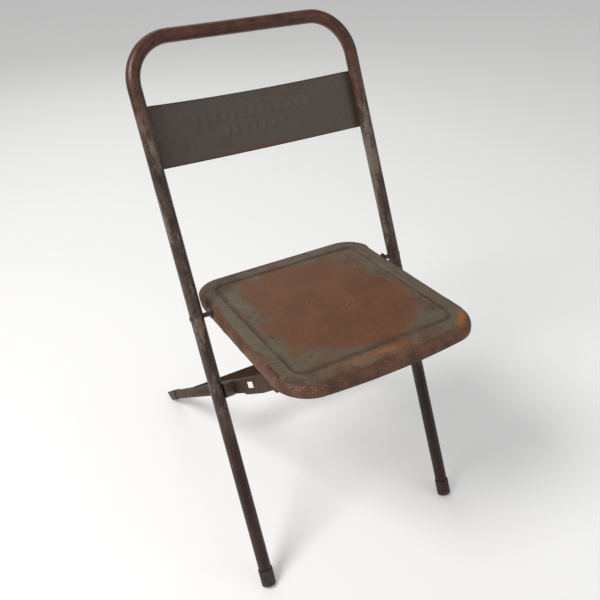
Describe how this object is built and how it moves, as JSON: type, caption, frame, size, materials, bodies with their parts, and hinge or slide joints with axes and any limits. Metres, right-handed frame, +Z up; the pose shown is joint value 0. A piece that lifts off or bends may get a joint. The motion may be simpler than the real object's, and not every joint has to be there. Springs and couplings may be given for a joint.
{
  "type": "folding chair",
  "caption": "Steel folding chair: one bent tube is the back and front legs, a pressed seat pan hinges on it, and pressed rear legs cross it and fold in under the seat.",
  "frame": {"origin": "on the floor, at the middle of the box round the open chair", "axes": "+Z up, the chair faces -Y, X across the seat; the rest pose is the open chair"},
  "size_m": [0.413, 0.6345, 0.8369],
  "materials": {
    "tube_paint": "old brown and grey-green paint over tube, rusted through in specks",
    "panel_paint": "olive grey paint on sheet, rusty along the edges",
    "seat_paint": "grey-green paint worn through to brown rust in the middle of the seat",
    "leg_paint": "olive brown paint, dull and rusty",
    "bare_steel": "bare steel pins and washers, tarnished",
    "cap_steel": "dark rusted steel cap, worn bright at the floor"
  },
  "bodies": {
    "main_frame": {"main_tube": "tube_paint", "back_panel": "panel_paint", "front_foot_cap_left": "cap_steel", "front_foot_cap_right": "cap_steel", "seat_hinge_pin_left": "bare_steel", "seat_hinge_pin_right": "bare_steel", "seat_hinge_washer_left": "bare_steel", "seat_hinge_washer_right": "bare_steel", "guide_stud_left": "bare_steel", "guide_stud_right": "bare_steel", "guide_spacer_left": "bare_steel", "guide_spacer_right": "bare_steel"},
    "seat": {"seat_pan": "seat_paint", "leg_bracket_left": "leg_paint", "leg_bracket_right": "leg_paint", "leg_pivot_rod": "bare_steel", "leg_pivot_washer_left": "bare_steel", "leg_pivot_washer_right": "bare_steel"},
    "rear_legs": {"rear_leg_left": "leg_paint", "rear_leg_right": "leg_paint", "rear_crossbar": "leg_paint", "rear_foot_ferrule_left": "cap_steel", "rear_foot_ferrule_right": "cap_steel"}
  },
  "joints": [
    {"name": "seat_fold", "type": "hinge", "parent": "main_frame", "child": "seat", "pos_m": [0, -0.04108, 0.43775], "axis": [-1, 0, 0], "range_deg": [0, 108.8]},
    {"name": "leg_fold", "type": "hinge", "parent": "seat", "child": "rear_legs", "pos_m": [0, -0.24339, 0.43828], "axis": [1, 0, 0], "range_deg": [0, 36.1]}
  ],
  "couplings": [
    {"joint": "leg_fold", "follows": "seat_fold", "ratio": 0.33172}
  ]
}
